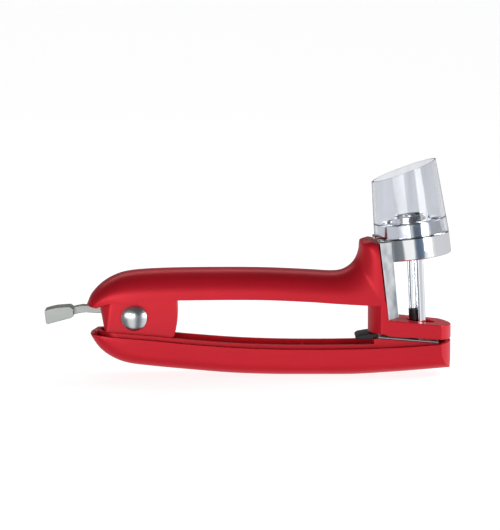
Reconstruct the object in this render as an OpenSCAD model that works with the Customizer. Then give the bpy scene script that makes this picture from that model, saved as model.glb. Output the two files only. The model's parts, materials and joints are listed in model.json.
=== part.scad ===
// Hand-held cherry and olive pitter, locked shut.
// Two red handles turn on a domed rivet; the lower one drives a fluted plunger up
// through the upper one's guide shelf, the chrome seat and into a clear splash guard.
// X runs from the lock lever to the plunger, Y across the handles, Z up.

/* [Grips] */
// Width of both grips
grip_w = 28; // [26:0.5:30]
// Wall of both grips
grip_wall = 2.2; // [1.8:0.1:2.4]
// Width of the grips where the tails begin
tail_w = 23; // [21:0.5:25]

/* [Hinge] */
// Diameter of the hinge pin
pin_d = 5; // [4:0.1:5.4]
// Radial clearance of the hinge pin in the lower frame's ears
pin_gap = 0.05; // [0.02:0.01:0.1]
// Diameter of the domed rivet caps
cap_d = 12.2; // [10:0.1:13]
// Height of the domed rivet caps
cap_h = 2.8; // [2:0.1:3.4]
// Width of the hub block between the grips
hub_w = 16.8; // [16:0.1:17.2]

/* [Head] */
// Outer diameter of the chrome ring
ring_d = 36; // [34:0.5:37]
// Height of the chrome ring
ring_h = 10.4; // [9:0.1:11]
// Diameter of the hole in the cherry seat
seat_hole_d = 14; // [13.6:0.1:15]
// Lean of the head and its guard from upright
head_lean = 7; // [6.5:0.1:7.5]
// Height of the spigot that the guard fits over
spigot_h = 6.5; // [5:0.1:8]
// Height of the collar that guides the stone out of the seat
collar_h = 9.4; // [6.5:0.1:10]

/* [Splash guard] */
// Wall of the clear guard at its skirt
guard_wall = 1.5; // [1.2:0.1:1.6]
// Wall of the clear guard at its rim
rim_wall = 0.9; // [0.8:0.1:1.5]
// Taper of the guard on each side
guard_taper = 3.9; // [3:0.1:4.5]
// Height of the guard's rim above the ring, at the middle
guard_h = 31.2; // [26:0.5:34]
// Slope of the guard's rim
rim_slope = 13.3; // [8:0.1:16]

/* [Plunger] */
// Diameter over the plunger's ribs
plunger_d = 7.8; // [7:0.1:8]
// Lean of the plunger from upright
plunger_lean = 2.8; // [2.4:0.1:3.2]

/* [Hidden] */
$fn = 64;
eps = 0.01;

red = [0.78, 0.10, 0.16];
chrome = [0.82, 0.83, 0.85];
steel = [0.66, 0.67, 0.69];
zinc = [0.62, 0.64, 0.62];
black = [0.06, 0.06, 0.06];
clear = [0.85, 0.88, 0.92, 0.35];
nylon = [0.90, 0.89, 0.84];

hinge = [-54.4, 27.9];          // the hinge pin's axis, as X and Z
head_at = [78.4, 67.1];         // centre of the ring's top face, as X and Z
tip_at = [79.2, 75.2];          // the plunger's tip, as X and Z
lever_at = [-64.2, 31.2];       // the lock lever's pin, as X and Z

// The grips are swept between two side outlines: the crown, which the palm or the
// fingers hold, and the rim, where the grip is open.
upper_crown = [[-77.3, 33.9], [-75.3, 38.4], [-71, 43.2], [-65, 47.1], [-57.5, 49.5],
    [-45, 50.6], [-25, 51.1], [5, 51.1], [28, 50.2], [38.5, 49.6], [44.5, 50.1],
    [48.8, 52.5], [51.5, 56], [52.9, 60], [53.2, 63.4], [53.8, 64.6], [56.8, 65.5]];
upper_rim = [[-72.4, 32.7], [-69.3, 34.2], [-65.6, 35.2], [-61, 35.8], [-55.3, 36.2],
    [-44.4, 36.7], [-25, 37.1], [5, 37.2], [28, 36.3], [41, 35.4], [51, 34.8],
    [59, 34.4], [65.6, 34.3]];
// Beyond the corner the rim follows the column's straight face.
face_rim = [[65.6, 34.3], [64, 47.5], [62.8, 57.5], [62.25, 62], [62.05, 63.7]];
lower_crown = [[-75.7, 19.7], [-74.4, 17.2], [-70.8, 12.3], [-65.2, 8.2], [-57.5, 5.3],
    [-45, 3.7], [-30, 2.3], [-8, 0.5], [12, -0.2], [31, -0.3], [50, -0.2], [70, 1],
    [83, 2], [89, 2.5], [92.5, 2.8], [94.7, 3], [95.9, 3.1]];
lower_rim = [[-72.3, 20.1], [-69.6, 19.6], [-65.8, 19.1], [-61, 18.7], [-55, 18.2],
    [-44, 17.3], [-30, 15.9], [-8, 14.2], [12, 13.4], [31, 13.2], [50, 13.4],
    [71, 14.1], [84, 15], [90, 15.5], [93.6, 15.9], [96.1, 16.2], [97.4, 16.3]];
steps = 3;                      // sweep steps between two outline points
arc_pts = 16;                   // points along each section's outline
end_r = 21.4;                   // radius of the handles' right end, seen from above

function catmull(a, b, c, d, t) = 0.5 * (2 * b + (c - a) * t
    + (2 * a - 5 * b + 4 * c - d) * t * t + (3 * b - a - 3 * c + d) * t * t * t);
function at(p, i) = i < 0 ? 2 * p[0] - p[1]
    : i >= len(p) ? 2 * p[len(p) - 1] - p[len(p) - 2] : p[i];
function spline(p) = [for (i = [0 : len(p) - 2], k = [0 : steps - 1])
    catmull(at(p, i - 1), p[i], p[i + 1], at(p, i + 2), k / steps), p[len(p) - 1]];
function tail(p) = [for (i = [1 : len(p) - 1]) p[i]];
function power(v, n) = sign(v) * pow(abs(v), n);
// A D-shaped outline of half width w and height h; n is how square its shoulders are.
function dome(w, h, n) = [for (i = [0 : arc_pts]) let(a = 180 * i / arc_pts)
    [-w * power(cos(a), 2 / n), h * power(max(0, sin(a)), 2 / n)]];
function clamp_y(p, w) = [for (q = p) [max(-w, min(w, q[0])), q[1]]];
function cut_h(p, h) = [for (q = p) [q[0], min(h, q[1])]];

// A shell swept along two outlines. Each station gives its half width, the half width
// that it's trimmed to, and 1 where it is hollow or 0 where it is solid. Nothing of it
// goes below floor_z.
module swept_grip(crown, rim, half, trim, hollow, floor_z = -100) {
    last = len(crown) - 1;
    ring = 2 * (arc_pts + 1);
    points = [for (i = [0 : last])
        let(b = rim[i], d = crown[i] - b, high = norm(d), up = d / high,
            w = half[i], deep = hollow[i] ? max(0.3, high - grip_wall) : 0.3,
            drop = up[1] < 0 ? (floor_z - b[1]) / up[1] : 100,
            outer = clamp_y(cut_h(dome(w, high, 2.6), drop), trim[i]),
            inner = dome(max(0.6, min(w, trim[i]) - grip_wall), deep, 3.2))
        for (q = [each outer, for (k = [arc_pts : -1 : 0]) inner[k]])
            [b[0] + up[0] * q[1], q[0], b[1] + up[1] * q[1]]];
    sides = [for (i = [0 : last - 1], k = [0 : ring - 1])
        let(a = i * ring + k, b = i * ring + (k + 1) % ring)
        each [[a, a + ring, b], [b, a + ring, b + ring]]];
    caps = [for (k = [0 : arc_pts - 1], e = [0, last * ring])
        let(a = e + k, b = e + ring - 1 - k)
        each (e == 0 ? [[a, a + 1, b], [a + 1, b - 1, b]]
                     : [[a, b, a + 1], [a + 1, b, b - 1]])];
    polyhedron(points, [each sides, each caps]);
}

upper_a = spline(upper_crown);
upper_b = [each spline(upper_rim), each tail(spline(face_rim))];
lower_a = spline(lower_crown);
lower_b = spline(lower_rim);
tail_run = 14;                  // stations over which each tail widens
function widen(i, n) = tail_w / 2 + (grip_w - tail_w) / 2 * sin(90 * min(1, i / n));
upper_half = [for (i = [0 : len(upper_a) - 1])
    widen(i, tail_run) - max(0, i - len(upper_a) + 7) * 0.25];
lower_half = [for (i = [0 : len(lower_a) - 1]) widen(i, tail_run)];
lower_trim = [for (b = lower_b) b[0] < 80 ? 99
    : max(2, sqrt(max(0, pow(end_r, 2) - pow(b[0] - 97.5 + end_r, 2))))];

module in_plane() { rotate([90, 0, 0]) children(); }
// Extrudes a side outline across the handles, from y0 to y1.
module across(y0, y1) { translate([0, y1, 0]) in_plane() linear_extrude(y1 - y0) children(); }
// A cylinder across the handles at a place in the side view, from y0 to y1.
module pin_at(p, r, y0, y1) { translate([p[0], y1, p[1]]) in_plane() cylinder(r = r, h = y1 - y0); }
module on_hinge(r, y0, y1) { pin_at(hinge, r, y0, y1); }
module on_lever(r, y0, y1) { pin_at(lever_at, r, y0, y1); }
module head_frame() { translate([head_at[0], 0, head_at[1]]) rotate([0, -head_lean, 0]) children(); }
module plunger_frame() { translate([tip_at[0], 0, tip_at[1]]) rotate([0, -plunger_lean, 0]) children(); }

ring_r = ring_d / 2;
hub_y = hub_w / 2;
cheek_y = hub_y - 2.8;          // inner face of each hub cheek
ear_y0 = 3.3;                   // the lower frame's two ears lie between these
ear_y1 = 5;
arm_u = -16.1;                  // the arm's back, across the head's own frame
face_u = -16.7;                 // the column's face, across the head's own frame
shelf_y = 13;                   // half width of the guide shelf and the arm
shelf_slope = 5.6;              // fall of the guide shelf towards its end

// ---- Upper frame ----
module hub_outline() {
    intersection() {
        polygon([[-72.6, 36.4], [-70.4, 24], [-69.2, 18], [-62, 15.6], [-36.2, 15.6],
            [-35.2, 18.8], [-34.1, 24], [-33.8, 29], [-34, 37], [-40, 42.6], [-62, 42.6]]);
        union() {
            translate(hinge) circle(16.7);
            translate([-120, 25]) square([200, 20]);
            translate([hinge[0], 10]) square([60, 60]);
        }
    }
}
module hub_block() {
    difference() {
        intersection() {
            across(-hub_y, hub_y) hub_outline();
            translate([-70.05, 0, 24]) rotate([0, -12.5, 0]) union() {
                translate([8.7, 0, -30]) cylinder(r = 8.71, h = 60, $fn = 96);
                translate([8.7, -20, -30]) cube([80, 40, 60]);
            }
        }
        // The slot that takes the lower frame's ears, the spring and the lock lever.
        across(-cheek_y, cheek_y) polygon([[-67.6, 33.9], [-66, 36.4], [-36.2, 36.4],
            [-36.6, 10], [-60, 10], [-67.4, 20]]);
        // The mouth that the lock lever comes out of.
        across(-3.2, 3.2) polygon([[-80, 23], [-64, 26], [-64, 34], [-80, 33.9]]);
        on_lever(1.5, -7, 7);
        on_hinge(pin_d / 2, -20, 20);
    }
}
function lift(p, d) = [for (q = p) [q[0], q[1] + d]];
function reversed(p) = [for (i = [len(p) - 1 : -1 : 0]) p[i]];
function between(p, x0, x1) = [for (q = p) if (q[0] > x0 && q[0] < x1) q];
module upper_bar() {
    low = between(spline(upper_rim), -62, 61);
    across(-8, 8) polygon([each lift(low, 0.4), each reversed(lift(low, 6.6))]);
}
// The column inside the grip, and the pad that the head's arm is screwed to.
module inner_column() {
    intersection() {
        across(-7, 7) polygon([[53, 35.4], [56.4, 42], [58, 50], [58.2, 56], [80, 56],
            [80, 30], [60, 30], [60, 35.4]]);
        head_frame() translate([-40, -20, -60]) cube([40 + face_u, 40, 60]);
    }
}
module shelf_plan() {
    intersection() {
        translate([50, -shelf_y]) square([60, 2 * shelf_y]);
        translate([78.5, 0]) circle(19, $fn = 128);
    }
    translate([60, -shelf_y]) square([30, 2 * shelf_y]);
}
// The visible foot of the column and the guide shelf below the grip.
module column_and_shelf() {
    difference() {
        intersection() {
            across(-shelf_y, shelf_y) polygon([[50, 20.4], [65.4, 20.4], [66.6, 19.6],
                [100, 17.3], [100, 23.9], [67.2, 27.23], [66.2, 34.15], [50, 34.15]]);
            union() {
                translate([57.7, 0, 20.3]) rotate([0, -5.2, 0])
                    intersection() {
                        translate([17.2, 0, -20]) cylinder(r = 17.2, h = 50, $fn = 128);
                        translate([-5, -shelf_y, -20]) cube([15, 2 * shelf_y, 50]);
                    }
                linear_extrude(60) intersection() {
                    shelf_plan();
                    translate([64, -20]) square([60, 40]);
                }
            }
        }
        head_frame() translate([face_u, -20, -39.1]) cube([30, 40, 39.1]);
    }
}
module guide_slot() {
    translate([81.5, 0, 0]) cylinder(r = 5.4, h = 60);
    translate([84.3, 0, 0]) cylinder(r = 5.4, h = 60);
    translate([81.5, -5.4, 0]) cube([2.8, 10.8, 60]);
}
head_screw_a = [-15, -27];      // heights of the two head screws, along the head's axis
module upper_frame() {
    color(red) difference() {
        union() {
            hub_block();
            difference() {
                upper_bar();
                across(-cheek_y, cheek_y) polygon([[-80, 20], [-36.2, 20], [-36.2, 36.4], [-80, 36.4]]);
                across(-20, 20) polygon([[-90, 20], [-62, 20], [-62, 60], [-90, 60]]);
            }
            inner_column();
            column_and_shelf();
        }
        guide_slot();
        for (a = head_screw_a) head_frame() translate([face_u - 20, 0, a]) rotate([0, 90, 0]) {
            cylinder(r = 1.6, h = 40);
            cylinder(r = 3.1, h = 14.5);
        }
    }
}

// ---- Grips ----
module upper_grip() {
    count = len(upper_a);
    color(red) swept_grip(upper_a, upper_b, upper_half, [for (i = [1 : count]) 99],
        [for (i = [1 : count]) i < count - 6 ? 1 : 0]);
}
module lower_grip() {
    count = len(lower_a);
    color(red) swept_grip(lower_a, lower_b, lower_half, lower_trim,
        [for (i = [1 : count]) i < count - 5 ? 1 : 0], 0);
}

// ---- Head ----
bowl_r = 15.98;                 // the cherry seat is part of a sphere
bowl_a = -13.87;                // its centre along the head's axis
arm_a = -38.3;                  // the arm's foot along the head's axis
module arm(a0, a1) {
    intersection() {
        for (part = [[arm_u, 20], [face_u, 9]])
            translate([0, part[1], 0]) in_plane() linear_extrude(2 * part[1])
                polygon([[part[0], a0], [-11.2 + 0.024 * (a0 - arm_a), a0],
                    [-11.2 + 0.024 * (a1 - arm_a), a1], [part[0], a1]]);
        // Seen along the handles, the arm flares towards the ring.
        translate([-20, 0, 0]) rotate([90, 0, 90]) linear_extrude(20)
            polygon([[-shelf_y, arm_a], [shelf_y, arm_a], [14.6, -ring_h - 4], [14.6, 0],
                [-14.6, 0], [-14.6, -ring_h - 4]]);
    }
}
module cherry_head() {
    color(chrome) head_frame() difference() {
        union() {
            difference() {
                union() {
                    intersection() {
                        translate([0, 0, -ring_h]) cylinder(r = ring_r, h = ring_h, $fn = 128);
                        translate([arm_u, -30, -30]) cube([60, 60, 60]);
                    }
                    cylinder(r1 = ring_r - 1.75, r2 = ring_r - 2.2, h = spigot_h, $fn = 128);
                    cylinder(r = seat_hole_d / 2 + 1.6, h = collar_h);
                    arm(-ring_h, -0.4);
                }
                translate([0, 0, bowl_a]) sphere(r = bowl_r, $fn = 128);
            }
            arm(arm_a, -ring_h);
        }
        translate([0, 0, -8]) cylinder(r = seat_hole_d / 2, h = 30);
        translate([0, 0, spigot_h - 2.6]) difference() {
            cylinder(r = ring_r - 3.8, h = 5);
            translate([0, 0, -1]) cylinder(r = seat_hole_d / 2 + 1.6, h = 12);
        }
        // The arm's foot follows the shelf.
        translate([face_u - 1, -20, arm_a]) rotate([0, 12.6, 0]) translate([0, 0, -5]) cube([20, 40, 5]);
        for (a = head_screw_a) translate([face_u - 2, 0, a]) rotate([0, 90, 0]) cylinder(r = 1.6, h = 6.4);
    }
}
module head_screws() {
    color(steel) head_frame() for (a = head_screw_a) translate([face_u, 0, a]) rotate([0, 90, 0]) {
        translate([0, 0, -5.5]) cylinder(r = 1.5, h = 9.5);
        translate([0, 0, -7.4]) difference() {
            cylinder(r = 2.8, h = 1.9);
            for (t = [0, 90]) rotate(t) translate([-1.6, -0.35, -eps]) cube([3.2, 0.7, 1]);
        }
    }
}

// ---- Hinge ----
module pivot_pin() { color(steel) on_hinge(pin_d / 2, -hub_y, hub_y); }
cap_rim = 1.2;                  // height of the cap's straight edge
cap_r = (pow(cap_d / 2, 2) + pow(cap_h - cap_rim, 2)) / (2 * (cap_h - cap_rim));
module rivet_cap(side) {
    color(chrome) translate([hinge[0], side * hub_y, hinge[1]]) rotate([-side * 90, 0, 0]) {
        cylinder(d = cap_d, h = cap_rim);
        intersection() {
            translate([0, 0, cap_h - cap_r]) sphere(r = cap_r, $fn = 96);
            translate([0, 0, cap_rim]) cylinder(d = cap_d, h = 5);
        }
    }
}
module rivet_cap_front() { rivet_cap(-1); }
module rivet_cap_back() { rivet_cap(1); }
module hub_washers() {
    color(nylon) for (side = [0, 1]) mirror([0, side, 0]) difference() {
        on_hinge(5, ear_y1, ear_y1 + 0.5);
        on_hinge(pin_d / 2 + pin_gap, ear_y1 - 1, ear_y1 + 2);
    }
}
spring_wire = 1.1;              // wire diameter
spring_r = 4.2;                 // mean coil radius
spring_turns = 4;
spring_pitch = 1.2;
// The coil starts and ends at the same side of the pin; each leg leaves it tangentially.
function coil_point(a) = [hinge[0] + spring_r * cos(a), (a - 90) / 360 * spring_pitch
    - spring_turns * spring_pitch / 2, hinge[1] + spring_r * sin(a)];
spring_path = [[-41, -2.4, 35.3], [-48, -2.4, 33.4],
    for (a = [75 : 22.5 : 90 + 360 * spring_turns - 150]) coil_point(a),
    [-48, 2.2, 21.4], [-39, 2.3, 15.2]];
function unit(v) = v / norm(v);
module wire(path, d) {
    n = len(path);
    sides = 8;
    points = [for (i = [0 : n - 1])
        let(t = unit(path[min(n - 1, i + 1)] - path[max(0, i - 1)]),
            u = unit(cross(t, [0, 1, 0.001])), v = cross(t, u))
        for (k = [0 : sides - 1]) path[i] + d / 2 * (cos(45 * k) * u + sin(45 * k) * v)];
    polyhedron(points, [
        [for (k = [sides - 1 : -1 : 0]) k],
        for (i = [0 : n - 2], k = [0 : sides - 1])
            let(a = i * sides + k, b = i * sides + (k + 1) % sides)
            each [[a, b, a + sides], [b, b + sides, a + sides]],
        [for (k = [0 : sides - 1]) (n - 1) * sides + k]]);
}
module return_spring() { color(steel) wire(spring_path, spring_wire); }

// ---- Lock ----
module lock_pin() { color(steel) on_lever(1.45, -6.9, 6.9); }
module lock_leaf() {
    color(steel) across(-2.5, 2.5)
        polygon([[-51, 36.3], [-56, 36.3], [-62, 34.6], [-66, 34.4], [-66, 34],
            [-62, 34.2], [-56, 35.9], [-51, 35.9]]);
}
module lock_lever() {
    color(zinc) {
        difference() {
            union() {
                across(-2.6, 2.6) polygon([[-84.6, 32], [-82, 32.9], [-79.5, 33.2], [-76.5, 33],
                    [-72.5, 32.3], [-66, 32.6], [-60.4, 32.9], [-60.4, 31], [-66, 29.4],
                    [-72.3, 29.3], [-78, 29.7], [-81, 29.3], [-84.6, 28.2]]);
                on_lever(2.6, -2.6, 2.6);
            }
            on_lever(1.5, -5, 5);
        }
        // The thumb tab, with its corners rounded.
        across(-5.5, 5.5) offset(r = 1, $fn = 24) offset(delta = -1)
            polygon([[-97.67, 30.6], [-95.5, 31.5], [-92, 32.3], [-85.5, 32.9], [-83.6, 31.8],
                [-83.6, 27.9], [-96.4, 24.3]]);
    }
}

// ---- Lower frame ----
frame_y = 10.8;                 // outer half width
channel_y = 8.9;                // inner half width
proud = 1.8;                    // how far the frame stands above the grip's rim
frame_deep = 0.38;              // the frame's depth, as a share of the grip's
function mid(a, b) = [for (i = [0 : len(a) - 1]) b[i] + frame_deep * (a[i] - b[i])];
module lower_profile(up, down) {
    low = between(mid(lower_a, lower_b), -76, 91);
    high = between(lower_b, -76, 91.4);
    polygon([each lift(high, up), each reversed(lift(low, down))]);
}
platform = [[60.2, 8], [60.2, 18], [62, 18.1], [91.4, 15.75], [91.4, 8]];
module ears() {
    for (side = [0, 1]) mirror([0, side, 0]) {
        on_hinge(8, ear_y0, ear_y1);
        across(ear_y0, ear_y1) polygon([[-61, 24], [-47.5, 24], [-41, 14.6], [-40.5, 12.4],
            [-45.5, 13], [-56, 17]]);
    }
}
plate_screw_x = [66, 89];
module lower_frame() {
    color(red) difference() {
        union() {
            difference() {
                intersection() {
                    across(-frame_y, frame_y) lower_profile(proud, 0);
                    union() {
                        on_hinge(18.9, -20, 20);
                        translate([hinge[0], -20, -10]) cube([200, 40, 60]);
                    }
                    union() {
                        translate([-62.2, 0, -10]) cylinder(r = frame_y, h = 60, $fn = 96);
                        translate([-62.2, -20, -10]) cube([170, 40, 60]);
                    }
                }
                across(-channel_y, channel_y) lower_profile(30, 2);
                on_hinge(17.2, -channel_y, channel_y);
            }
            intersection() {
                across(-frame_y, frame_y) polygon(platform);
                across(-30, 30) lower_profile(6, 0);
            }
            // Two cross walls stiffen the channel.
            for (x = [-12, 25]) intersection() {
                translate([x, -frame_y + 1, 0]) cube([1.8, 2 * frame_y - 2, 30]);
                across(-20, 20) lower_profile(-1, 0);
            }
            ears();
        }
        // The rims stop level with the platform, so that the plate lies flat.
        across(-20, 20) polygon([[61.6, 18.13], [61.6, 30], [95, 30], [95, 15.46]]);
        on_hinge(pin_d / 2 + pin_gap, -20, 20);
        for (x = plate_screw_x) translate([x, 0, 9]) cylinder(r = 1.25, h = 20);
        translate([82.05, 0, 0]) cylinder(r = 3.4, h = 14.3);
        translate([82.05, 0, 0]) cylinder(r = 1.8, h = 40);
    }
}

// ---- Plunger ----
plate_t = 0.7;                  // thickness of the plate
module plunger_plate() {
    color(steel) difference() {
        across(-9.5, 9.5) polygon([[62.4, 18.1], [62.4, 18.1 + plate_t],
            [91.2, 15.8 + plate_t], [91.2, 15.8]]);
        translate([82.05, 0, 0]) cylinder(r = 1.8, h = 40);
        for (x = plate_screw_x) translate([x, 0, 0]) cylinder(r = 1.25, h = 40);
    }
}
module fluted(r, h) {
    difference() {
        cylinder(r = r, h = h);
        for (t = [45 : 90 : 315]) rotate(t) translate([r + 0.55, 0, -1]) cylinder(r = 2.75, h = h + 2);
    }
}
plunger_len = 57.9;             // from the plate to the tip
rib_turn = 15;                  // turn of the ribs about the plunger's axis
module plunger() {
    color(chrome) difference() {
        intersection() {
            plunger_frame() rotate(rib_turn) translate([0, 0, -plunger_len - 5])
                fluted(plunger_d / 2, plunger_len + 5);
            plunger_frame() {
                translate([0, 0, -5]) cylinder(r1 = plunger_d / 2 + eps, r2 = plunger_d / 2 - 0.9, h = 5);
                translate([0, 0, -80]) cylinder(r = 6, h = 75);
            }
            across(-20, 20) polygon([[60, 19.05], [100, 15.85], [100, 90], [60, 90]]);
        }
        translate([82.05, 0, 0]) cylinder(r = 1.25, h = 24);
    }
}
module plunger_foot() {
    color(black) difference() {
        plunger_frame() intersection() {
            translate([0, 0, -70]) cylinder(r = 4.15, h = 26.6);
            translate([-10, -10, -80]) cube([8.9, 20, 60]);
        }
        across(-20, 20) polygon([[60, 0], [100, 0], [100, 15.85], [60, 19.05]]);
        plunger_frame() rotate(rib_turn) translate([0, 0, -90]) fluted(plunger_d / 2 + 0.03, 80);
    }
}
module plunger_screw() {
    color(steel) translate([82.05, 0, 0]) {
        translate([0, 0, 12.2]) cylinder(r = 3, h = 2);
        translate([0, 0, 14]) cylinder(r = 1.2, h = 9);
    }
}
module plate_screws() {
    color(steel) for (x = plate_screw_x) translate([x, 0, 0]) {
        z = 18.1 + plate_t - (x - 62.4) * 0.08;
        translate([0, 0, z - 6]) cylinder(r = 1.2, h = 6.2);
        translate([0, 0, z + 0.2]) cylinder(r = 2.1, h = 0.5);
    }
}
module stop_pad() {
    color(black) across(-8.6, 8.6)
        polygon([[51.4, 14.9], [51.5, 17.6], [52.6, 18.9], [57, 20], [61.6, 20.25], [61.9, 18.2],
            [59.9, 18.1], [59.9, 14]]);
}

// ---- Splash guard ----
module guard_cone(r, h, taper) { cylinder(r1 = r, r2 = r - h * taper, h = h, $fn = 128); }
guard_out = tan(guard_taper);
guard_in = guard_out - (guard_wall - rim_wall) / guard_h;
module splash_guard() {
    color(clear) head_frame() translate([0, 0, 0.05]) difference() {
        union() {
            guard_cone(ring_r, 45, guard_out);
            // The lip that a thumb pushes to take the guard off.
            intersection() {
                cylinder(r = ring_r + 0.9, h = 1.9);
                translate([-30, -6, 0.5]) cube([16, 12, 1.4]);
            }
        }
        translate([0, 0, -eps]) guard_cone(ring_r - guard_wall, 46, guard_in);
        translate([0, 0, guard_h]) rotate([0, -rim_slope, 0]) translate([-40, -40, 0]) cube([80, 80, 40]);
    }
}

upper_frame();
upper_grip();
cherry_head();
head_screws();
pivot_pin();
rivet_cap_front();
rivet_cap_back();
return_spring();
lock_pin();
lock_leaf();
lower_frame();
lower_grip();
hub_washers();
plunger();
plunger_foot();
plunger_plate();
plate_screws();
plunger_screw();
stop_pad();
lock_lever();
splash_guard();
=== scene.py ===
# %% [markdown]
# # A cherry and olive pitter
# This lesson dresses a finished CAD model: two red grips on a domed rivet, a chromed
# head with a clear splash guard, and a fluted plunger. The CAD model holds every size
# and joint. Here each piece that shows is modelled again by hand, with rounded edges and
# a real finish, and it rides on the CAD body that it belongs to.

# %% Load the CAD model
import json
import math

import bpy
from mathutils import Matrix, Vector


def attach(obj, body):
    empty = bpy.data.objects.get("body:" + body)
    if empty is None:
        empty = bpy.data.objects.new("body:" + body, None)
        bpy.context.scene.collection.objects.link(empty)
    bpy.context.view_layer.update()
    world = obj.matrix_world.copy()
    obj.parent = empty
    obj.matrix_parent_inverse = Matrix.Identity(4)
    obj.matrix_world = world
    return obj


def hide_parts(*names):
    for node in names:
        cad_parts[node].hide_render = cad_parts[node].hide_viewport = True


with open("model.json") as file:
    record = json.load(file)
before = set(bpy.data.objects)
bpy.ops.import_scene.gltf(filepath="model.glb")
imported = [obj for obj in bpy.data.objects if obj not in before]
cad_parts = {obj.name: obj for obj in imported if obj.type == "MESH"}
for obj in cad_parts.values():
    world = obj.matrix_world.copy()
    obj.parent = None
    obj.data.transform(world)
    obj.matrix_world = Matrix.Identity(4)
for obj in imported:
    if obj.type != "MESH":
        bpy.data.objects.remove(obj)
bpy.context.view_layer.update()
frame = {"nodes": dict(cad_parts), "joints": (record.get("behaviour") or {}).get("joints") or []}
mm = 0.001

# %% [markdown]
# ## Where things are
# The hinge's place is read from the CAD model's joints. The head leans back by the angle
# of the guard's slide, so that angle is read from a joint too.

# %% Places read from the model
joints = {joint["name"]: joint for joint in frame["joints"]}
hinge = Vector(joints["handle_hinge"]["pos_m"]) / mm
head_up = Vector(joints["guard_slide"]["axis"])
head_lean = math.atan2(-head_up.x, head_up.z)
ring_top = Vector((78.4, 0, 67.1))
plunger_tip = Vector((79.2, 0, 75.2))
plunger_lean = math.radians(2.8)
print("hinge at", tuple(round(v, 1) for v in hinge), "head leans", round(math.degrees(head_lean), 1))

# %% [markdown]
# ## A small bench of tools
# A moulded or cast piece starts from a few outlines. So the first tools draw an outline
# by extruding one corner from point to point, fill it, and push it out to a slab. A
# round piece is an outline spun on a lathe. Typing vertices into a list would also do,
# but these are the moves that a hand makes in edit mode, and each can be tried there.


# %% Draw and fill an outline
def let_go():
    """Leaves edit mode and selects nothing, because operators act on all that is selected."""
    if bpy.context.mode != "OBJECT":
        bpy.ops.object.mode_set(mode="OBJECT")
    bpy.ops.object.select_all(action="DESELECT")


def pick(piece):
    let_go()
    piece.select_set(True)
    bpy.context.view_layer.objects.active = piece


def select_whole(piece):
    """Enters edit mode with the whole mesh selected."""
    pick(piece)
    bpy.ops.object.mode_set(mode="EDIT")
    bpy.ops.mesh.select_all(action="SELECT")


def draw(name, points):
    """One corner, extruded from point to point. The points are in millimetres."""
    points = [Vector(p) * mm for p in points]
    let_go()
    bpy.ops.mesh.primitive_plane_add(size=mm, location=points[0])
    piece = bpy.context.object
    piece.name = piece.data.name = name
    bpy.ops.object.mode_set(mode="EDIT")
    bpy.ops.mesh.select_mode(type="VERT")
    bpy.ops.mesh.select_all(action="SELECT")
    bpy.ops.mesh.merge(type="CENTER")
    for start, end in zip(points, points[1:]):
        bpy.ops.mesh.extrude_region_move(TRANSFORM_OT_translate={"value": end - start})
    bpy.ops.mesh.select_all(action="SELECT")
    return piece


def choose(piece, kind, test):
    """Enters edit mode with just those faces, edges or corners selected that a test picks."""
    pick(piece)
    bpy.ops.object.mode_set(mode="EDIT")
    bpy.ops.mesh.select_mode(type=kind)
    bpy.ops.mesh.select_all(action="DESELECT")
    bpy.ops.object.mode_set(mode="OBJECT")
    mesh = piece.data
    for part in {"FACE": mesh.polygons, "EDGE": mesh.edges, "VERT": mesh.vertices}[kind]:
        part.select = test(part)
    bpy.ops.object.mode_set(mode="EDIT")


def push(x=0, y=0, z=0):
    bpy.ops.mesh.extrude_region_move(TRANSFORM_OT_translate={"value": Vector((x, y, z)) * mm})


def close_up():
    """Merges doubled corners and turns every face outwards."""
    bpy.ops.mesh.select_all(action="SELECT")
    bpy.ops.mesh.remove_doubles(threshold=0.002 * mm)
    bpy.ops.mesh.normals_make_consistent(inside=False)
    bpy.ops.object.mode_set(mode="OBJECT")


def seal(piece):
    """Removes slivers and loose edges, and fills any gap that a cut has left."""
    select_whole(piece)
    bpy.ops.mesh.dissolve_degenerate(threshold=0.002 * mm)
    bpy.ops.mesh.delete_loose()
    bpy.ops.mesh.select_all(action="SELECT")
    bpy.ops.mesh.fill_holes(sides=8)
    close_up()


def slab(name, outline, y0, y1):
    """A side outline, as X and Z, pushed across the handles."""
    piece = draw(name, [(x, y0, z) for x, z in outline])
    bpy.ops.mesh.edge_face_add()
    push(y=y1 - y0)
    close_up()
    return piece


def prism(name, plan, z0, z1):
    """An outline seen from above, as X and Y, pushed upwards."""
    piece = draw(name, [(x, y, z0) for x, y in plan])
    bpy.ops.mesh.edge_face_add()
    push(z=z1 - z0)
    close_up()
    return piece


def turned(name, profile, steps=96):
    """A closed half profile, as radius and height, spun about the Z axis."""
    profile = list(profile) + [profile[0]]
    piece = draw(name, [(r, 0, a) for r, a in profile])
    bpy.ops.mesh.spin(steps=steps, angle=math.tau, center=(0, 0, 0), axis=(0, 0, 1))
    close_up()
    seal(piece)
    return piece


def cut_below(piece, place, normal):
    """Cuts off what lies behind a plane and fills the cut."""
    select_whole(piece)
    bpy.ops.mesh.bisect(plane_co=place, plane_no=normal, use_fill=True, clear_inner=True)
    close_up()


# %% Place, carve and round
def settle(piece):
    """Moves the object's own place and turn into its mesh."""
    pick(piece)
    bpy.ops.object.transform_apply(location=True, rotation=True, scale=True)


def stand(piece, place, turn):
    """Turns a piece and puts it at a place in millimetres."""
    settle(piece)
    piece.rotation_euler = turn
    piece.location = Vector(place) * mm
    settle(piece)
    return piece


def on_head(piece):
    """From the head's own upright frame to its place, leaning back."""
    return stand(piece, ring_top, (0, -head_lean, 0))


def twin(piece, name, shift=(0, 0, 0)):
    """A copy with a mesh of its own, moved by some millimetres."""
    settle(piece)
    copy = piece.copy()
    copy.data = piece.data.copy()
    copy.name = copy.data.name = name
    bpy.context.collection.objects.link(copy)
    copy.location = Vector(shift) * mm
    return copy


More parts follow.
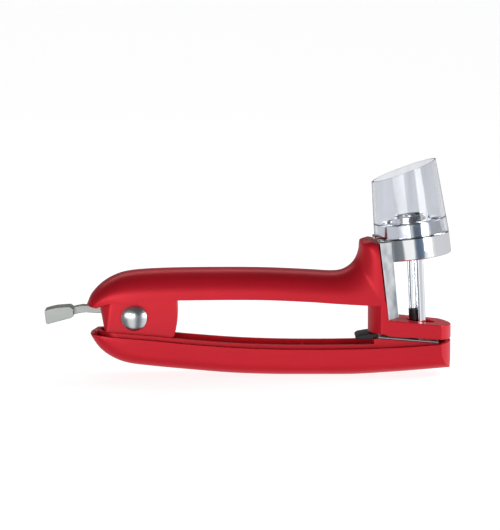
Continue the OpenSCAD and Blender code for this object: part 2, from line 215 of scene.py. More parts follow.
def modify(piece, kind, **settings):
    pick(piece)
    bpy.ops.object.modifier_add(type=kind)
    step = piece.modifiers[-1]
    for key, value in settings.items():
        setattr(step, key, value)
    bpy.ops.object.modifier_apply(modifier=step.name)


def carve(piece, tool, how="DIFFERENCE"):
    """Cuts, joins or meets two solids, and uses up the second."""
    settle(piece)
    settle(tool)
    modify(piece, "BOOLEAN", operation=how, object=tool, solver="EXACT")
    bpy.data.objects.remove(tool)
    return piece


def soften(piece, width, segments=3, angle=32):
    """Rounds every edge sharper than an angle, as a moulded or cast edge is."""
    modify(piece, "BEVEL", width=width * mm, segments=segments, limit_method="ANGLE",
           angle_limit=math.radians(angle), harden_normals=False)
    return piece


def tidy_mesh(piece, flat=0.3):
    """Joins the leftover triangles of a cut into whole flat faces."""
    select_whole(piece)
    bpy.ops.mesh.remove_doubles(threshold=0.005 * mm)
    bpy.ops.mesh.dissolve_limited(angle_limit=math.radians(flat))
    bpy.ops.mesh.normals_make_consistent(inside=False)
    bpy.ops.object.mode_set(mode="OBJECT")


def hand_in(piece, finish, body, slot, *nodes, smooth=35):
    """Gives a finished piece its material and its body, and hides the nodes it stands for. The slot
    argument is not used.
    """
    settle(piece)
    bpy.ops.object.shade_smooth_by_angle(angle=math.radians(smooth))
    modify(piece, "WEIGHTED_NORMAL", keep_sharp=True, weight=60)
    piece.data.materials.clear()
    piece.data.materials.append(finish)
    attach(piece, body)
    if nodes:
        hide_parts(*nodes)
    size = [round(v / mm, 1) for v in piece.dimensions]
    print(f"{piece.name}: {len(piece.data.polygons)} faces, {size} mm")
    return piece


# %% [markdown]
# ## Outlines that the grips share
# Each grip lies between two side outlines: a crown that the hand holds and a rim where
# it is open. A spline through a few points makes both smooth. The section between them
# is a D with square shoulders, which a superellipse gives in one formula.


# %% Splines and the D section
def spline(points, steps=4):
    """A Catmull-Rom curve through points, each a pair of numbers."""
    ends = [[2 * a - b for a, b in zip(points[0], points[1])],
            [2 * a - b for a, b in zip(points[-1], points[-2])]]
    p = [Vector(q) for q in [ends[0], *points, ends[1]]]
    curve = []
    for a, b, c, d in zip(p, p[1:], p[2:], p[3:]):
        for k in range(steps):
            t = k / steps
            curve.append(0.5 * (2 * b + (c - a) * t + (2 * a - 5 * b + 4 * c - d) * t**2
                                + (3 * b - a - 3 * c + d) * t**3))
    return curve + [p[-2]]


def d_section(half, high, squareness=2.6, points=28):
    """Half width and height to a list of (across, up), from one rim to the other."""
    section = []
    for k in range(points + 1):
        a = math.pi * k / points
        across = math.copysign(abs(math.cos(a)) ** (2 / squareness), math.cos(a))
        section.append((-half * across, high * math.sin(a) ** (2 / squareness)))
    return section


def arc(centre, radius, start, end, steps):
    """Points on a circle, from one angle to another in degrees."""
    angles = [math.radians(start + (end - start) * k / steps) for k in range(steps + 1)]
    return [(centre[0] + radius * math.cos(a), centre[1] + radius * math.sin(a)) for a in angles]


upper_crown = spline([(-77.3, 33.9), (-75.3, 38.4), (-71, 43.2), (-65, 47.1), (-57.5, 49.5),
                      (-45, 50.6), (-25, 51.1), (5, 51.1), (28, 50.2), (38.5, 49.6), (44.5, 50.1),
                      (48.8, 52.5), (51.5, 56), (52.9, 60), (53.2, 63.4), (53.8, 64.6), (56.8, 65.5)])
upper_rim = spline([(-72.4, 32.7), (-69.3, 34.2), (-65.6, 35.2), (-61, 35.8), (-55.3, 36.2),
                    (-44.4, 36.7), (-25, 37.1), (5, 37.2), (28, 36.3), (41, 35.4), (51, 34.8),
                    (59, 34.4), (65.6, 34.3)])
column_face = spline([(65.6, 34.3), (64, 47.5), (62.8, 57.5), (62.25, 62), (62.05, 63.7)])
lower_crown = spline([(-75.7, 19.7), (-74.4, 17.2), (-70.8, 12.3), (-65.2, 8.2), (-57.5, 5.3),
                      (-45, 3.7), (-30, 2.3), (-8, 0.5), (12, -0.2), (31, -0.3), (50, -0.2),
                      (70, 1), (83, 2), (89, 2.5), (92.5, 2.8), (94.7, 3), (96.8, 3.1)])
lower_rim = spline([(-72.3, 20.1), (-69.6, 19.6), (-65.8, 19.1), (-61, 18.7), (-55, 18.2),
                    (-44, 17.3), (-30, 15.9), (-8, 14.2), (12, 13.4), (31, 13.2), (50, 13.4),
                    (71, 14.1), (84, 15), (90, 15.5), (93.6, 15.9), (96.1, 16.2), (98.3, 16.4)])
print(len(upper_crown), "stations on the upper grip,", len(lower_crown), "on the lower")

# %% [markdown]
# ## Finishes
# The red is a satin moulded plastic: its colour is even, and a fine grain breaks up the
# gloss. The head is polished chrome plate on a casting, which is never quite flat. The
# lever is tumbled zinc, a soft grey with fine scratches. Each finish is worked out from
# the piece's own coordinates, so that it stays put as the piece moves.


# %% A finish with a fine grain
def finish_of(name, colour, roughness, grain=0.0, scale=900, depth=0.05, spread=0.05,
              metallic=0.0, stretch=(1, 1, 1), mottle=0.06, patch=45, wave=0.0, **shader):
    """A material whose gloss and relief vary with a fine noise."""
    material = bpy.data.materials.new(name)
    material.use_nodes = True
    nodes, links = material.node_tree.nodes, material.node_tree.links
    skin = nodes["Principled BSDF"]
    skin.inputs["Metallic"].default_value = metallic
    for key, value in shader.items():
        skin.inputs[key.replace("_", " ")].default_value = value
    place = nodes.new("ShaderNodeTexCoord")
    turn = nodes.new("ShaderNodeMapping")
    turn.inputs["Scale"].default_value = stretch
    links.new(place.outputs["Object"], turn.inputs["Vector"])
    fine = nodes.new("ShaderNodeTexNoise")
    fine.inputs["Scale"].default_value = scale
    fine.inputs["Detail"].default_value = 3
    links.new(turn.outputs["Vector"], fine.inputs["Vector"])
    broad = nodes.new("ShaderNodeTexNoise")
    broad.inputs["Scale"].default_value = patch
    broad.inputs["Detail"].default_value = 2
    links.new(turn.outputs["Vector"], broad.inputs["Vector"])
    gloss = nodes.new("ShaderNodeMapRange")
    gloss.inputs["To Min"].default_value = max(0.0, roughness - spread)
    gloss.inputs["To Max"].default_value = roughness + spread
    links.new(fine.outputs["Fac"], gloss.inputs["Value"])
    links.new(gloss.outputs["Result"], skin.inputs["Roughness"])
    shade = nodes.new("ShaderNodeMix")
    shade.data_type = "RGBA"
    shade.inputs["A"].default_value = (*[c * (1 - mottle) for c in colour], 1)
    shade.inputs["B"].default_value = (*[min(1, c * (1 + mottle)) for c in colour], 1)
    links.new(broad.outputs["Fac"], shade.inputs["Factor"])
    links.new(shade.outputs["Result"], skin.inputs["Base Color"])
    if grain:
        relief = nodes.new("ShaderNodeBump")
        relief.inputs["Strength"].default_value = grain
        relief.inputs["Distance"].default_value = depth * mm
        links.new(fine.outputs["Fac"], relief.inputs["Height"])
        links.new(relief.outputs["Normal"], skin.inputs["Normal"])
        if wave:
            waves = nodes.new("ShaderNodeBump")
            waves.inputs["Distance"].default_value = wave * mm
            links.new(broad.outputs["Fac"], waves.inputs["Height"])
            links.new(waves.outputs["Normal"], relief.inputs["Normal"])
    print("finish:", name)
    return material


red_plastic = finish_of("red_plastic", (0.66, 0.013, 0.028), 0.38, grain=0.25, scale=1600,
                        metallic=0.35, Specular_IOR_Level=0.3)
red_frame = finish_of("red_frame", (0.68, 0.013, 0.028), 0.32, grain=0.2, scale=1600,
                      metallic=0.35, Specular_IOR_Level=0.35)
chrome = finish_of("chrome", (0.88, 0.89, 0.91), 0.07, grain=0.2, scale=240, depth=0.08,
                   spread=0.03, metallic=1.0, mottle=0.02, patch=70, wave=0.35)
plated = finish_of("plated_rod", (0.86, 0.87, 0.89), 0.10, grain=0.35, scale=900, depth=0.03,
                   metallic=1.0, stretch=(1, 1, 0.05), mottle=0.03)
domed = finish_of("domed_steel", (0.66, 0.67, 0.67), 0.25, grain=0.4, scale=420, metallic=1.0)
steel = finish_of("steel", (0.56, 0.57, 0.59), 0.30, grain=0.15, scale=700, metallic=1.0,
                  stretch=(0.1, 1, 1))
zinc = finish_of("tumbled_zinc", (0.45, 0.47, 0.45), 0.42, grain=0.6, scale=500, metallic=0.85,
                 stretch=(0.35, 1, 1), mottle=0.14, patch=160)
black = finish_of("black_nylon", (0.012, 0.012, 0.013), 0.42, grain=0.3, scale=1200)
nylon = finish_of("natural_nylon", (0.72, 0.70, 0.64), 0.45, grain=0.2)
clear = finish_of("clear_plastic", (0.75, 0.765, 0.80), 0.07, grain=0.5, scale=260, depth=0.03,
                  spread=0.04, stretch=(1, 1, 0.06), mottle=0.09, patch=260,
                  Transmission_Weight=1.0, IOR=1.47)

# %% [markdown]
# ## The grips
# Each grip is one moulding, a long hollow D that is open towards the other handle. It
# could be a bent cube under a subdivision surface, but then its outline would only be
# near the real one. Extruding a D from station to station, and scaling and turning it at
# each, follows both outlines exactly.


# %% Sweep a D along two outlines
def swept(name, crown, rim, half):
    """The solid between a crown and a rim. half gives the half width at each station."""
    ups = [a - b for a, b in zip(crown, rim)]
    angles = [math.atan2(u.x, u.y) for u in ups]
    up, foot = ups[0].normalized(), rim[0]
    first = [(foot.x + up.x * h, y, foot.y + up.y * h) for y, h in d_section(half[0], ups[0].length)]
    piece = draw(name, first)
    bpy.ops.mesh.edge_face_add()
    for i in range(1, len(crown)):
        step = rim[i] - rim[i - 1]
        push(step.x, 0, step.y)
        centre = (rim[i].x * mm, 0, rim[i].y * mm)
        tall = ups[i].length / ups[i - 1].length
        wide = half[i] / half[i - 1]
        turn_about(centre, -angles[i - 1])
        bpy.ops.transform.resize(value=(1, wide, tall), center_override=centre)
        turn_about(centre, angles[i])
    close_up()
    return piece


def turn_about(centre, angle):
    """Turns the selection about the Y axis. With no window the operator turns backwards."""
    if abs(angle) > 1e-6:
        bpy.ops.transform.rotate(value=-angle, orient_axis="Y", center_override=centre)


def open_up(piece, test):
    """Deletes the faces that a test of their normal and centre picks."""
    settle(piece)
    choose(piece, "FACE", lambda face: test(face.normal, face.center / mm))
    bpy.ops.mesh.delete(type="FACE")
    bpy.ops.object.mode_set(mode="OBJECT")


def tail_width(i, full=14.0, tail=11.5, run=18):
    """The half width widens from the tail over the first stations."""
    return tail + (full - tail) * math.sin(math.pi / 2 * min(1, i / run))


# %% Lower grip
wall = 2.2
end_radius = 21.4
end_x = 97.4
lower_half = [tail_width(i) for i in range(len(lower_crown))]
lower_grip = swept("lower_grip_moulding", lower_crown, lower_rim, lower_half)
plan_half = 15
corner = math.degrees(math.asin(plan_half / end_radius))
plan = ([(-90, -plan_half)] + arc((end_x - end_radius, 0), end_radius, -corner, corner, 24)
        + [(-90, plan_half)])
carve(lower_grip, prism("end_tool", plan, -20, 40), "INTERSECT")
# The underside is flat where it rests, so it is cut there and kept flat after rounding.
cut_below(lower_grip, (0, 0, 0), (0, 0, 1))
open_up(lower_grip, lambda normal, centre: normal.z > 0.9 and centre.z > 12)
modify(lower_grip, "SOLIDIFY", thickness=wall * mm, offset=-1, use_even_offset=True)
soften(lower_grip, 0.35, segments=3)
settle(lower_grip)
choose(lower_grip, "VERT", lambda corner: corner.co.z < 0)
bpy.ops.transform.resize(value=(1, 1, 0), center_override=(0, 0, 0))
bpy.ops.object.mode_set(mode="OBJECT")
hand_in(lower_grip, red_plastic, "lower_handle", "red_grip", "lower_grip")

# %% Upper grip
upper_open = upper_rim + column_face[1:]
count = len(upper_crown)
upper_half = [tail_width(i) - max(0, i - count + 9) * 0.18 for i in range(count)]
upper_grip = swept("upper_grip_moulding", upper_crown, upper_open, upper_half)


def faces_inwards(normal, centre):
    under_bar = normal.z < -0.9 and centre.x > -68
    on_column = normal.x > 0.9 and centre.x > 60
    return under_bar or on_column


open_up(upper_grip, faces_inwards)
modify(upper_grip, "SOLIDIFY", thickness=wall * mm, offset=-1, use_even_offset=True)
soften(upper_grip, 0.35, segments=3)
hand_in(upper_grip, red_plastic, "upper_handle", "red_grip", "upper_grip")

# %% [markdown]
# ## The frames
# A stiffer red frame is moulded inside each grip. The upper one has a hub block at the
# tail, a bar under the grip, and the foot of the column with its guide shelf. Each is a
# slab with a rounded edge, and the slabs are joined and then cut, as a mould maker would
# build it up from plain blocks.

# %% Upper frame: hub block
hub_side = 8.4
cheek_inside = 5.6
round_under = arc((hinge.x, hinge.z), 16.6, -142, -47, 14)
hub_outline = ([(-72.3, 37), (-69.1, 22)] + round_under
               + [(-35.4, 18.8), (-34.5, 22), (-33.95, 26), (-33.8, 30), (-34, 37)])
hub = slab("upper_frame_moulding", hub_outline, -hub_side, hub_side)
settle(hub)


def on_nose(edge):
    ends = [hub.data.vertices[v].co / mm for v in edge.vertices]
    return all(e.x < -67.5 for e in ends) and abs(ends[0].z - ends[1].z) > 3


choose(hub, "EDGE", on_nose)
bpy.ops.mesh.bevel(offset=8.3 * mm, segments=14, affect="EDGES")
close_up()
slot_outline = [(-67.6, 33.9), (-66, 38), (-36.2, 38), (-36.6, 8), (-60, 8), (-67.4, 20)]
carve(hub, slab("slot_tool", slot_outline, -cheek_inside, cheek_inside))
mouth_outline = [(-80, 23), (-64, 26), (-64, 34), (-80, 33.9)]
carve(hub, slab("mouth_tool", mouth_outline, -3.2, 3.2))
tidy_mesh(hub)
soften(hub, 0.35)

# %% Upper frame: bar
bar_under = [p for p in upper_rim if -62 < p.x < 60]
bar_outline = [(p.x, p.y + 0.4) for p in bar_under] + [(p.x, p.y + 6.6) for p in reversed(bar_under)]
bar = slab("bar", bar_outline, -8, 8)
bar_slot = [(-80, 20), (-36.2, 20), (-36.2, 38), (-80, 38)]
carve(bar, slab("bar_tool", bar_slot, -cheek_inside, cheek_inside))

# %% Upper frame: column foot and guide shelf
shelf_half = 13
side = [(50, 20.4), (65.4, 20.4), (66.6, 19.6), (100, 17.3), (100, 23.9), (67.2, 27.23),
        (66.1, 36.6), (50, 36.6)]
shelf = slab("shelf", side, -shelf_half, shelf_half)
nose_turn = math.degrees(math.asin(shelf_half / 17.2))
nose = arc((74.8, 0), 17.2, 180 - nose_turn, 180 + nose_turn, 20)
end_turn = math.degrees(math.asin(shelf_half / 19))
shelf_plan = nose + arc((78.5, 0), 19, -end_turn, end_turn, 20)
carve(shelf, prism("plan_tool", shelf_plan, 10, 60), "INTERSECT")
guide_plan = arc((84.3, 0), 5.4, -90, 90, 20) + arc((81.5, 0), 5.4, 90, 270, 20)
carve(shelf, prism("guide_tool", guide_plan, 0, 60))
tidy_mesh(shelf)
soften(shelf, 0.4)
column_outline = [(58.6, 33), (58.6, 56), (61.6, 56), (64.6, 33)]
carve(bar, slab("column", column_outline, -7, 7), "UNION")
carve(hub, bar, "UNION")
carve(hub, shelf, "UNION")
seal(hub)
hand_in(hub, red_frame, "upper_handle", "red_frame", "upper_frame")

# %% [markdown]
# The lower frame is a channel that stands a little above the grip's rim all round. Its
# right end is a solid platform that carries the plunger, and two ears inside the hub
# turn on the hinge pin.

# %% Lower frame
frame_half = 10.8
channel_half = 8.9
depth_share = 0.38
proud = 1.8
run = [(r, c) for r, c in zip(lower_rim, lower_crown) if -73 < r.x < 91]
top_line = [(r.x, r.y + proud) for r, c in run]
bottom_line = [(r.x + depth_share * (c.x - r.x), r.y + depth_share * (c.y - r.y)) for r, c in run]
lower_frame = slab("lower_frame_moulding", top_line + bottom_line[::-1], -frame_half, frame_half)
tail_plan = arc((-62.2, 0), frame_half, 90, 270, 24) + [(110, -frame_half), (110, frame_half)]
carve(lower_frame, prism("tail_tool", tail_plan, -10, 60), "INTERSECT")
floor_line = [(x, z + 2) for x, z in bottom_line]
channel = slab("channel_tool", [(x, z + 20) for x, z in top_line] + floor_line[::-1],
               -channel_half, channel_half)
tail_room = arc((-62.2, 0), channel_half, 90, 270, 24) + [(110, -channel_half), (110, channel_half)]
carve(channel, prism("room_tool", tail_room, -20, 80), "INTERSECT")
carve(lower_frame, channel)
level = [(61.6, 18.1), (61.6, 30), (95, 30), (95, 15.43)]
carve(lower_frame, slab("level_tool", level, -20, 20))
platform = slab("platform", [(60.2, 9), (60.2, 18), (62, 18.06), (91.2, 15.73), (91.2, 9.6)],
                -frame_half, frame_half)
carve(lower_frame, platform, "UNION")
rib = slab("rib", [(-12, 9), (-10.2, 9), (-10.2, 13), (-12, 13)], -9.4, 9.4)
second_rib = twin(rib, "second_rib", (37, 0, 0))
for part in (rib, second_rib):
    carve(lower_frame, part, "UNION")
tidy_mesh(lower_frame)
soften(lower_frame, 0.3)
ear_outline = (arc((hinge.x, hinge.z), 8, -40, 220, 40)
               + [(-61, 18), (-56, 12), (-42, 12), (-41, 14.6)])
near_ear = slab("ear", ear_outline, -5, -3.3)
far_ear = twin(near_ear, "far_ear", (0, 8.3, 0))
for part in (near_ear, far_ear):
    carve(lower_frame, part, "UNION")
seal(lower_frame)
hand_in(lower_frame, red_frame, "lower_handle", "red_frame", "lower_frame")

# %% [markdown]
# ## The head
# The head is one zinc casting, chromed all over. Its ring, spigot, collar and cherry
# seat are all round about one axis, so a lathe profile makes them in one go. The arm is
# a slab that flares towards the ring, joined on and rounded with it.

# %% Ring, spigot, collar and seat
ring_radius = 18
ring_high = 10.4
spigot_high = 6.5
collar_high = 9.4
hole_radius = 7
bowl_radius, bowl_centre = 15.98, -13.87
bowl = []
for k in range(17):
    r = hole_radius + (15.6 - hole_radius) * k / 16
    bowl.append((r, bowl_centre + math.sqrt(bowl_radius**2 - r**2)))
profile = ([(ring_radius - 0.5, -ring_high), (ring_radius, -ring_high + 0.5), (ring_radius, -0.4),
            (ring_radius - 0.4, 0), (16.25, 0), (15.8, spigot_high - 0.3), (15.4, spigot_high),
            (14.4, spigot_high), (14, spigot_high - 0.4), (13.8, 3.6), (13.2, 3), (9.9, 3),
            (9.3, 3.5), (8.5, collar_high - 0.5), (8, collar_high), (7.4, collar_high),
            (hole_radius, collar_high - 0.4)] + bowl + [(15.9, -ring_high)])
head = turned("chromed_head", profile, steps=128)
arm_back = -16.1
cut_below(head, (arm_back * mm, 0, 0), (1, 0, 0))

# %% Arm
arm_foot = -38.3
arm_outline = [(arm_back, arm_foot), (-11.2, arm_foot + 1.05), (-10.5, -5), (-10.3, -0.6),
               (arm_back, -0.6)]
arm = slab("arm", arm_outline, -20, 20)
flare = draw("flare_tool", [(-30, y, z) for y, z in (
    (-13, arm_foot - 5), (13, arm_foot - 5), (13, arm_foot), (14.6, -14), (14.6, 5),
    (-14.6, 5), (-14.6, -14), (-13, arm_foot))])
bpy.ops.mesh.edge_face_add()
push(x=40)
close_up()
carve(arm, flare, "INTERSECT")
pad = slab("arm_pad", [(-16.7, arm_foot + 1), (-14, arm_foot + 1), (-14, -1.2), (-16.7, -1.2)], -9, 9)
carve(arm, pad, "UNION")
tidy_mesh(arm)
soften(arm, 0.5)
room = 0.6
inside = ([(0, -ring_high - 1), (bowl[-1][0] + room, -ring_high - 1)]
          + [(r + room, z) for r, z in bowl[::-1]] + [(0, bowl[0][1])])
carve(arm, turned("bowl_tool", inside, steps=96))
carve(head, arm, "UNION")
on_head(head)
seal(head)
hand_in(head, chrome, "upper_handle", "bright_chrome", "cherry_head", smooth=28)

# %% [markdown]
# ## The splash guard
# The guard is a thin clear cone, pushed over the spigot and cut off on a slope. It is
# turned with its real wall, because clear plastic looks empty in the middle and dark at
# its edges only when light passes through two true surfaces.

# %% Splash guard
guard_wall, rim_wall = 1.5, 0.9
slope = math.radians(13.3)
guard_height = 31.2
taper = math.tan(math.radians(3.9))


def guard_radius(a):
    return ring_radius - a * taper


def guard_inside(a):
    return guard_radius(a) - guard_wall + a / guard_height * (guard_wall - rim_wall)


guard_profile = [(guard_radius(0) - 0.3, 0.08), (guard_radius(0.4), 0.4), (guard_radius(40), 40),
                 (guard_inside(40), 40), (guard_inside(7.6), 7.6), (16, 7), (16.35, 6.8),
                 (16.5, 0.5), (16.6, 0.08)]
guard = turned("clear_guard", guard_profile, steps=128)
rim_tool = slab("rim_tool", [(-40, 0), (40, 0), (40, 40), (-40, 40)], -40, 40)
stand(rim_tool, (0, 0, guard_height), (0, -slope, 0))
carve(guard, rim_tool)
tab = slab("guard_tab", [(-18.7, 0.6), (-16.9, 0.6), (-16.9, 2), (-18.7, 1.7)], -5, 5)
soften(tab, 0.3)
carve(guard, tab, "UNION")
soften(guard, 0.3, segments=3, angle=50)
on_head(guard)
seal(guard)
hand_in(guard, clear, "splash_guard", "clear_guard", "splash_guard", smooth=35)

# %% [markdown]
# ## The plunger
# The plunger is a plated rod with four ribs, so that it cuts the fruit cleanly and
# grips the stone. A cross is drawn, pushed up its length and drawn in at the tip.

# %% Plunger
rib_reach, rib_half, flute, rib_turn = 3.9, 0.85, 1.9, 15
cross = []
for quarter in range(4):
    a = math.radians(90 * quarter + rib_turn)
    for x, y in ((rib_reach - 0.25, -rib_half), (rib_reach, -rib_half + 0.3),
                 (rib_reach, rib_half - 0.3), (rib_reach - 0.25, rib_half),
                 (flute + 0.6, rib_half + 0.15), (flute - 0.3, flute - 0.3),
                 (rib_half + 0.15, flute + 0.6)):
        cross.append((x * math.cos(a) - y * math.sin(a), x * math.sin(a) + y * math.cos(a)))
rod_length = 58
plunger = draw("ribbed_plunger", [(x, y, -rod_length - 3) for x, y in cross])
bpy.ops.mesh.edge_face_add()
push(z=rod_length - 3)
for rise, size in ((3.6, 0.93), (1.6, 0.86), (0.8, 0.72)):
    push(z=rise)
    bpy.ops.transform.resize(value=(size, size, 1))
close_up()


def seat_on_platform(piece):
    """Leans a piece at the plunger's place and cuts it off at the platform."""
    stand(piece, plunger_tip, (0, -plunger_lean, 0))
    carve(piece, slab("foot_tool", [(60, 0), (110, 0), (110, 15.05), (60, 19.05)], -20, 20))


seat_on_platform(plunger)
soften(plunger, 0.12, segments=2, angle=40)
hand_in(plunger, plated, "lower_handle", "bright_chrome", "plunger", smooth=40)

# %% [markdown]
# A black nylon moulding fills the plunger's left side at the foot. Half a disc, pushed up
# and leaned like the plunger, is all that it needs.

# %% Black foot
foot_plan = arc((0, 0), 4.15, 105, 255, 24)
foot = prism("black_foot", foot_plan, -61, -43.6)
seat_on_platform(foot)
soften(foot, 0.25)
hand_in(foot, black, "lower_handle", "black_nylon", "plunger_foot")

# %% [markdown]
# A thin steel plate covers the platform, and a rubber pad beside it takes the knock when
# the handles close. Both are side outlines pushed across. The plate keeps nearly sharp
# edges, as sheet metal has, and the pad gets round ones.

# %% Plate and stop pad
plate = slab("steel_plate", [(62.4, 18.1), (62.4, 18.8), (91.2, 16.5), (91.2, 15.8)], -9.5, 9.5)
soften(plate, 0.15)
hand_in(plate, steel, "lower_handle", "plain_steel", "plunger_plate")
pad_outline = [(51.4, 17.6), (51.6, 18.5), (52.8, 19.3), (57, 20.05), (61.6, 20.25), (61.9, 18.25),
               (60, 18.2), (60, 17.6)]
stop_pad = slab("rubber_pad", pad_outline, -8.6, 8.6)
soften(stop_pad, 0.5)
seal(stop_pad)
hand_in(stop_pad, black, "lower_handle", "black_rubber", "stop_pad")

# %% [markdown]
# ## Rivet caps and lock lever
# Each cap is a shallow dome pressed onto the hinge pin, turned on the lathe and laid on
# its side. The lever is a small die casting with soft corners all over.

# %% Rivet caps
cap_radius, cap_high, rim_high = 6.1, 2.8, 1.2
dome_radius = (cap_radius**2 + (cap_high - rim_high) ** 2) / (2 * (cap_high - rim_high))
dome = []
for k in range(13):
    r = cap_radius * (1 - k / 12)
    dome.append((r, cap_high - dome_radius + math.sqrt(dome_radius**2 - r**2)))
cap_profile = [(0, 0), (cap_radius - 0.2, 0), (cap_radius, 0.15)] + dome
front_cap = turned("rivet_cap_front_dome", cap_profile, steps=96)
back_cap = twin(front_cap, "rivet_cap_back_dome")
for cap, side_of, node in ((front_cap, -1, "rivet_cap_front"), (back_cap, 1, "rivet_cap_back")):
    stand(cap, (hinge.x, side_of * hub_side, hinge.z), (math.radians(-90 * side_of), 0, 0))
    hand_in(cap, domed, "upper_handle", "bright_chrome", node, smooth=30)

# %% Lock lever
arm_side = [(-85.5, 31.4), (-83, 32.5), (-79.5, 33.2), (-76.5, 33), (-72.5, 32.3), (-66, 32.6),
            (-60.4, 32.9), (-60.4, 31), (-66, 29.4), (-72.3, 29.3), (-78, 29.7), (-81, 29.3),
            (-85.5, 28.2)]
lever = slab("thumb_lever", arm_side, -2.6, 2.6)
tab_side = [(-97.53, 30.9), (-95.5, 31.6), (-92, 32.4), (-85.5, 32.9), (-83.6, 31.6), (-83.6, 28.2),
            (-85, 27.3), (-96.2, 24.3), (-96.8, 24.8)]
thumb_tab = slab("thumb_tab", tab_side, -5.5, 5.5)
carve(lever, thumb_tab, "UNION")
tidy_mesh(lever)
soften(lever, 0.7, segments=4)
hand_in(lever, zinc, "lock_lever", "satin_zinc", "lock_lever", smooth=50)

# %% [markdown]
# ## Small CAD pieces
# The pins, screws, washers and the spring are right as they are. A copy of each is
# merged into one skin, so that its round faces can be shaded smoothly.


# %% Smooth copies of the small pieces
def smooth_copy(node, finish, body, slot):
    source = frame["nodes"][node]
    copy = source.copy()
    copy.data = source.data.copy()
    copy.parent = None
    for key in list(copy.keys()):
        del copy[key]
    bpy.context.collection.objects.link(copy)
    copy.name = copy.data.name = node + "_smooth"
    select_whole(copy)
    bpy.ops.mesh.remove_doubles(threshold=0.002 * mm)
    bpy.ops.object.mode_set(mode="OBJECT")
    return hand_in(copy, finish, body, slot, node)


for node in ("head_screws", "pivot_pin", "return_spring", "lock_pin", "lock_leaf"):
    smooth_copy(node, steel, "upper_handle", "plain_steel")
for node in ("plate_screws", "plunger_screw"):
    smooth_copy(node, steel, "lower_handle", "plain_steel")
smooth_copy("hub_washers", nylon, "lower_handle", "washer_nylon")

# %% [markdown]
# ## Floor, light and camera
# The pitter lies on a pale floor that curves up into a wall, so that no edge shows.
# Two low soft boxes in front light the grips, a strip high up behind draws the thin bright
# line along the upper grip, and a box at the right lights the shelf and the ring. The floor
# glows a little, so that the background stays even without stronger lamps.

# %% Floor
let_go()
bpy.ops.mesh.primitive_plane_add(size=1, location=(0, 0, 0))
floor = bpy.context.object
floor.name = "floor"
select_whole(floor)
bpy.ops.transform.resize(value=(8, 5.5, 1))
bpy.ops.transform.translate(value=(0, -1.2, 0))
choose(floor, "EDGE", lambda edge: all(floor.data.vertices[v].co.y > 1 for v in edge.vertices))
for k in range(8):
    a = math.radians(90 * (k + 0.5) / 8)
    bpy.ops.mesh.extrude_region_move(
        TRANSFORM_OT_translate={"value": (0, 0.12 * math.cos(a), 0.12 * math.sin(a))})
bpy.ops.mesh.extrude_region_move(TRANSFORM_OT_translate={"value": (0, 0, 2.5)})
bpy.ops.object.mode_set(mode="OBJECT")
bpy.ops.object.shade_smooth()
pale = finish_of("pale_floor", (0.30, 0.30, 0.30), 0.7, mottle=0.005)
floor.data.materials.append(pale)

# %% Let the floor glow
skin = pale.node_tree.nodes["Principled BSDF"]
skin.inputs["Emission Color"].default_value = (1, 1, 1, 1)
skin.inputs["Emission Strength"].default_value = 0.86
floor.visible_glossy = False


# %% Lights
def soft_box(name, place, aim, size, power, colour=(1, 1, 1)):
    let_go()
    bpy.ops.object.light_add(type="AREA", location=place)
    lamp = bpy.context.object
    lamp.name = name
    lamp.data.shape = "RECTANGLE"
    lamp.data.size, lamp.data.size_y = size
    lamp.data.energy = power
    lamp.data.color = colour
    lamp.rotation_euler = (Vector(aim) - Vector(place)).to_track_quat("-Z", "Y").to_euler()


soft_box("front_left", (-0.40, -0.95, 0.12), (0, 0, 0.03), (0.75, 0.20), 2.2)
soft_box("front_right", (0.72, -0.66, 0.12), (0.03, 0, 0.03), (0.40, 0.20), 1.4)
soft_box("back_strip", (0, 0.70, 0.70), (0, 0, 0.05), (1.5, 0.25), 1.8)
soft_box("right_side", (0.75, 0.1, 0.42), (0.09, 0, 0.03), (0.4, 0.4), 4.5)

# %% [markdown]
# Chrome shows nothing but its surroundings. So the world is a studio of its own: pale
# and dark panels stand in a circle round the object, up to a little above the horizon,
# and over them it is dim. Only their direction is needed, which the world's generated
# coordinate gives.

# %% Panels round the object
world = bpy.data.worlds.new("studio")
bpy.context.scene.world = world
world.use_nodes = True
nodes, links = world.node_tree.nodes, world.node_tree.links


def ranged(value, low, high, how="SMOOTHSTEP"):
    """Runs from 0 to 1 as a value goes from low to high."""
    step = nodes.new("ShaderNodeMapRange")
    step.interpolation_type = how
    step.inputs["From Min"].default_value = low
    step.inputs["From Max"].default_value = high
    links.new(value, step.inputs["Value"])
    return step.outputs["Result"]


def towards(start, colour, share):
    """Blends a colour socket towards a plain colour by a share."""
    blend = nodes.new("ShaderNodeMix")
    blend.data_type = "RGBA"
    blend.inputs["B"].default_value = (*colour, 1)
    links.new(share, blend.inputs["Factor"])
    links.new(start, blend.inputs["A"])
    return blend.outputs["Result"]


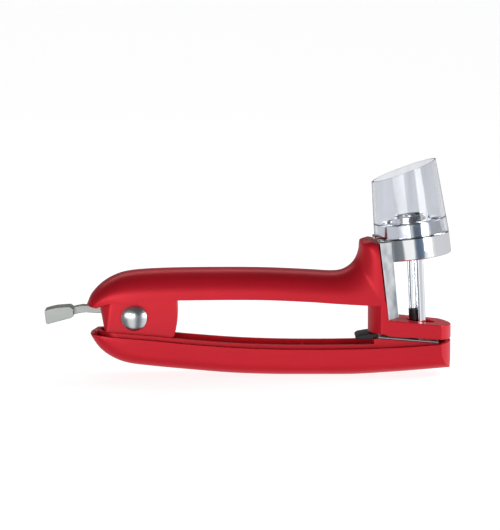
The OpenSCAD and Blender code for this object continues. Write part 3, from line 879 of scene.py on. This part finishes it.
place = nodes.new("ShaderNodeTexCoord")
split = nodes.new("ShaderNodeSeparateXYZ")
links.new(place.outputs["Generated"], split.inputs["Vector"])
back = nodes.new("ShaderNodeMath")
back.operation = "MULTIPLY"
back.inputs[1].default_value = -1
links.new(split.outputs["Y"], back.inputs[0])
around = nodes.new("ShaderNodeMath")
around.operation = "ARCTAN2"
links.new(split.outputs["X"], around.inputs[0])
links.new(back.outputs["Value"], around.inputs[1])
panels = nodes.new("ShaderNodeValToRGB")
# Degrees to the right of the front, and the panel's colour there.
stops = [(-180, (0.42, 0.43, 0.45)), (-75, (0.34, 0.35, 0.37)), (-58, (0.16, 0.18, 0.20)),
         (-34, (0.22, 0.24, 0.26)), (-28, (0.95, 0.95, 0.95)), (0, (1, 1, 1)), (6, (0.26, 0.30, 0.33)),
         (12, (0.10, 0.14, 0.20)), (27, (0.15, 0.20, 0.28)), (34, (0.60, 0.66, 0.70)), (42, (1, 1, 1)),
         (60, (0.95, 0.95, 0.96)), (70, (0.68, 0.69, 0.71)), (180, (0.62, 0.63, 0.65))]
ramp = panels.color_ramp
for k, (degrees, colour) in enumerate(stops):
    stop = ramp.elements[k] if k < 2 else ramp.elements.new(1)
    stop.position = (degrees + 180) / 360
    stop.color = (*colour, 1)
links.new(ranged(around.outputs["Value"], -math.pi, math.pi, "LINEAR"), panels.inputs["Fac"])
print(len(stops), "panel edges round the object")

# %% Dim overhead and underneath
overhead = ranged(split.outputs["Z"], 0.06, 0.16)
underneath = ranged(split.outputs["Z"], -0.82, -0.97)
dimmed = towards(panels.outputs["Color"], (0.07, 0.072, 0.076), overhead)
dimmed = towards(dimmed, (0.16, 0.16, 0.16), underneath)
links.new(dimmed, nodes["Background"].inputs["Color"])
nodes["Background"].inputs["Strength"].default_value = 1

# %% [markdown]
# The camera stands well back with a long lens, as for a catalogue, and a little above the
# object, so that the tops of the shelf and the ring show.

# %% Camera
view_distance = 1.3
view_up = math.radians(7.15)
aim = Vector((0.96, 0, 52.3)) * mm
seen_height = 254.4 * mm
let_go()
bpy.ops.object.camera_add(
    location=aim + view_distance * Vector((0, -math.cos(view_up), math.sin(view_up))),
    rotation=(math.pi / 2 - view_up, 0, 0))
camera = bpy.context.object
camera.data.lens = camera.data.sensor_width * view_distance / seen_height
bpy.context.scene.camera = camera
bpy.context.scene.view_settings.view_transform = "Standard"
print("lens", round(camera.data.lens), "mm, looking down", round(math.degrees(view_up), 1), "degrees")
